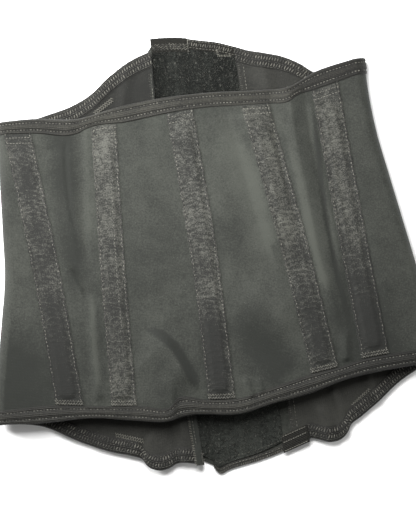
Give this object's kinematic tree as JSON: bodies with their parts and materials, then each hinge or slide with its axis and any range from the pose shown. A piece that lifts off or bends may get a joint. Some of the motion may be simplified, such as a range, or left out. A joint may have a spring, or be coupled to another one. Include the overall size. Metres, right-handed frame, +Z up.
{
  "type": "lumbar support belt",
  "caption": "Lumbar support belt in dark stretch fabric, closed at the front and lying flat: stayed back panel, two wings and a hook-and-loop closure flap that open.",
  "frame": {"origin": "middle of the belt's lowest face, on the table that it lies on", "axes": "+Z up from the table, out of the back panel's outer face; +Y towards the wearer's head, along the stays; +X towards the right side fold, on the side of the wing that carries the closure flap"},
  "size_m": [0.3412, 0.3328, 0.0204],
  "materials": {
    "neoprene": "smooth charcoal knit bonded to neoprene, soft sheen",
    "lining": "matte charcoal knit lining",
    "tape": "ribbed woven channel tape, slightly shiny and speckled",
    "binding": "folded stretch binding with rows of charcoal stitches",
    "hook": "dark fuzzy hook-and-loop fleece",
    "loop": "dark brushed loop fabric",
    "steel": "flat spring steel"
  },
  "bodies": {
    "back_panel": {"back_shell": "neoprene", "back_lining": "lining", "back_top_binding": "binding", "back_bottom_binding": "binding", "back_stay_1": "steel", "back_stay_tape_1": "tape", "back_stay_2": "steel", "back_stay_tape_2": "tape", "back_stay_3": "steel", "back_stay_tape_3": "tape", "back_stay_4": "steel", "back_stay_tape_4": "tape", "back_stay_5": "steel", "back_stay_tape_5": "tape"},
    "left_wing": {"left_wing_shell": "neoprene", "left_wing_lining": "lining", "left_wing_top_binding": "binding", "left_wing_bottom_binding": "binding", "left_wing_stay": "steel", "left_wing_stay_tape": "tape", "left_end_hem": "neoprene", "loop_panel": "loop"},
    "right_wing": {"right_wing_shell": "neoprene", "right_wing_lining": "lining", "right_wing_top_binding": "binding", "right_wing_bottom_binding": "binding", "right_wing_stay": "steel", "right_wing_stay_tape": "tape", "binding_end_tab": "binding"},
    "closure_flap": {"flap_base": "neoprene", "hook_panel": "hook", "flap_top_binding": "binding", "flap_bottom_hem": "binding"}
  },
  "joints": [
    {"name": "right_wing_fold", "type": "hinge", "parent": "back_panel", "child": "right_wing", "pos_m": [0.16009, 0.01144, 0.0102], "axis": [0.0978, -0.9952, 0], "range_deg": [0, 180]},
    {"name": "left_wing_fold", "type": "hinge", "parent": "back_panel", "child": "left_wing", "pos_m": [-0.1534, 0.00794, 0.0102], "axis": [0.1537, 0.9881, 0], "range_deg": [0, 180]},
    {"name": "closure_peel", "type": "hinge", "parent": "right_wing", "child": "closure_flap", "pos_m": [0.05085, 0, 0], "axis": [0, -1, 0], "range_deg": [0, 150]}
  ],
  "couplings": [
    {"joint": "left_wing_fold", "follows": "right_wing_fold", "ratio": 1}
  ]
}
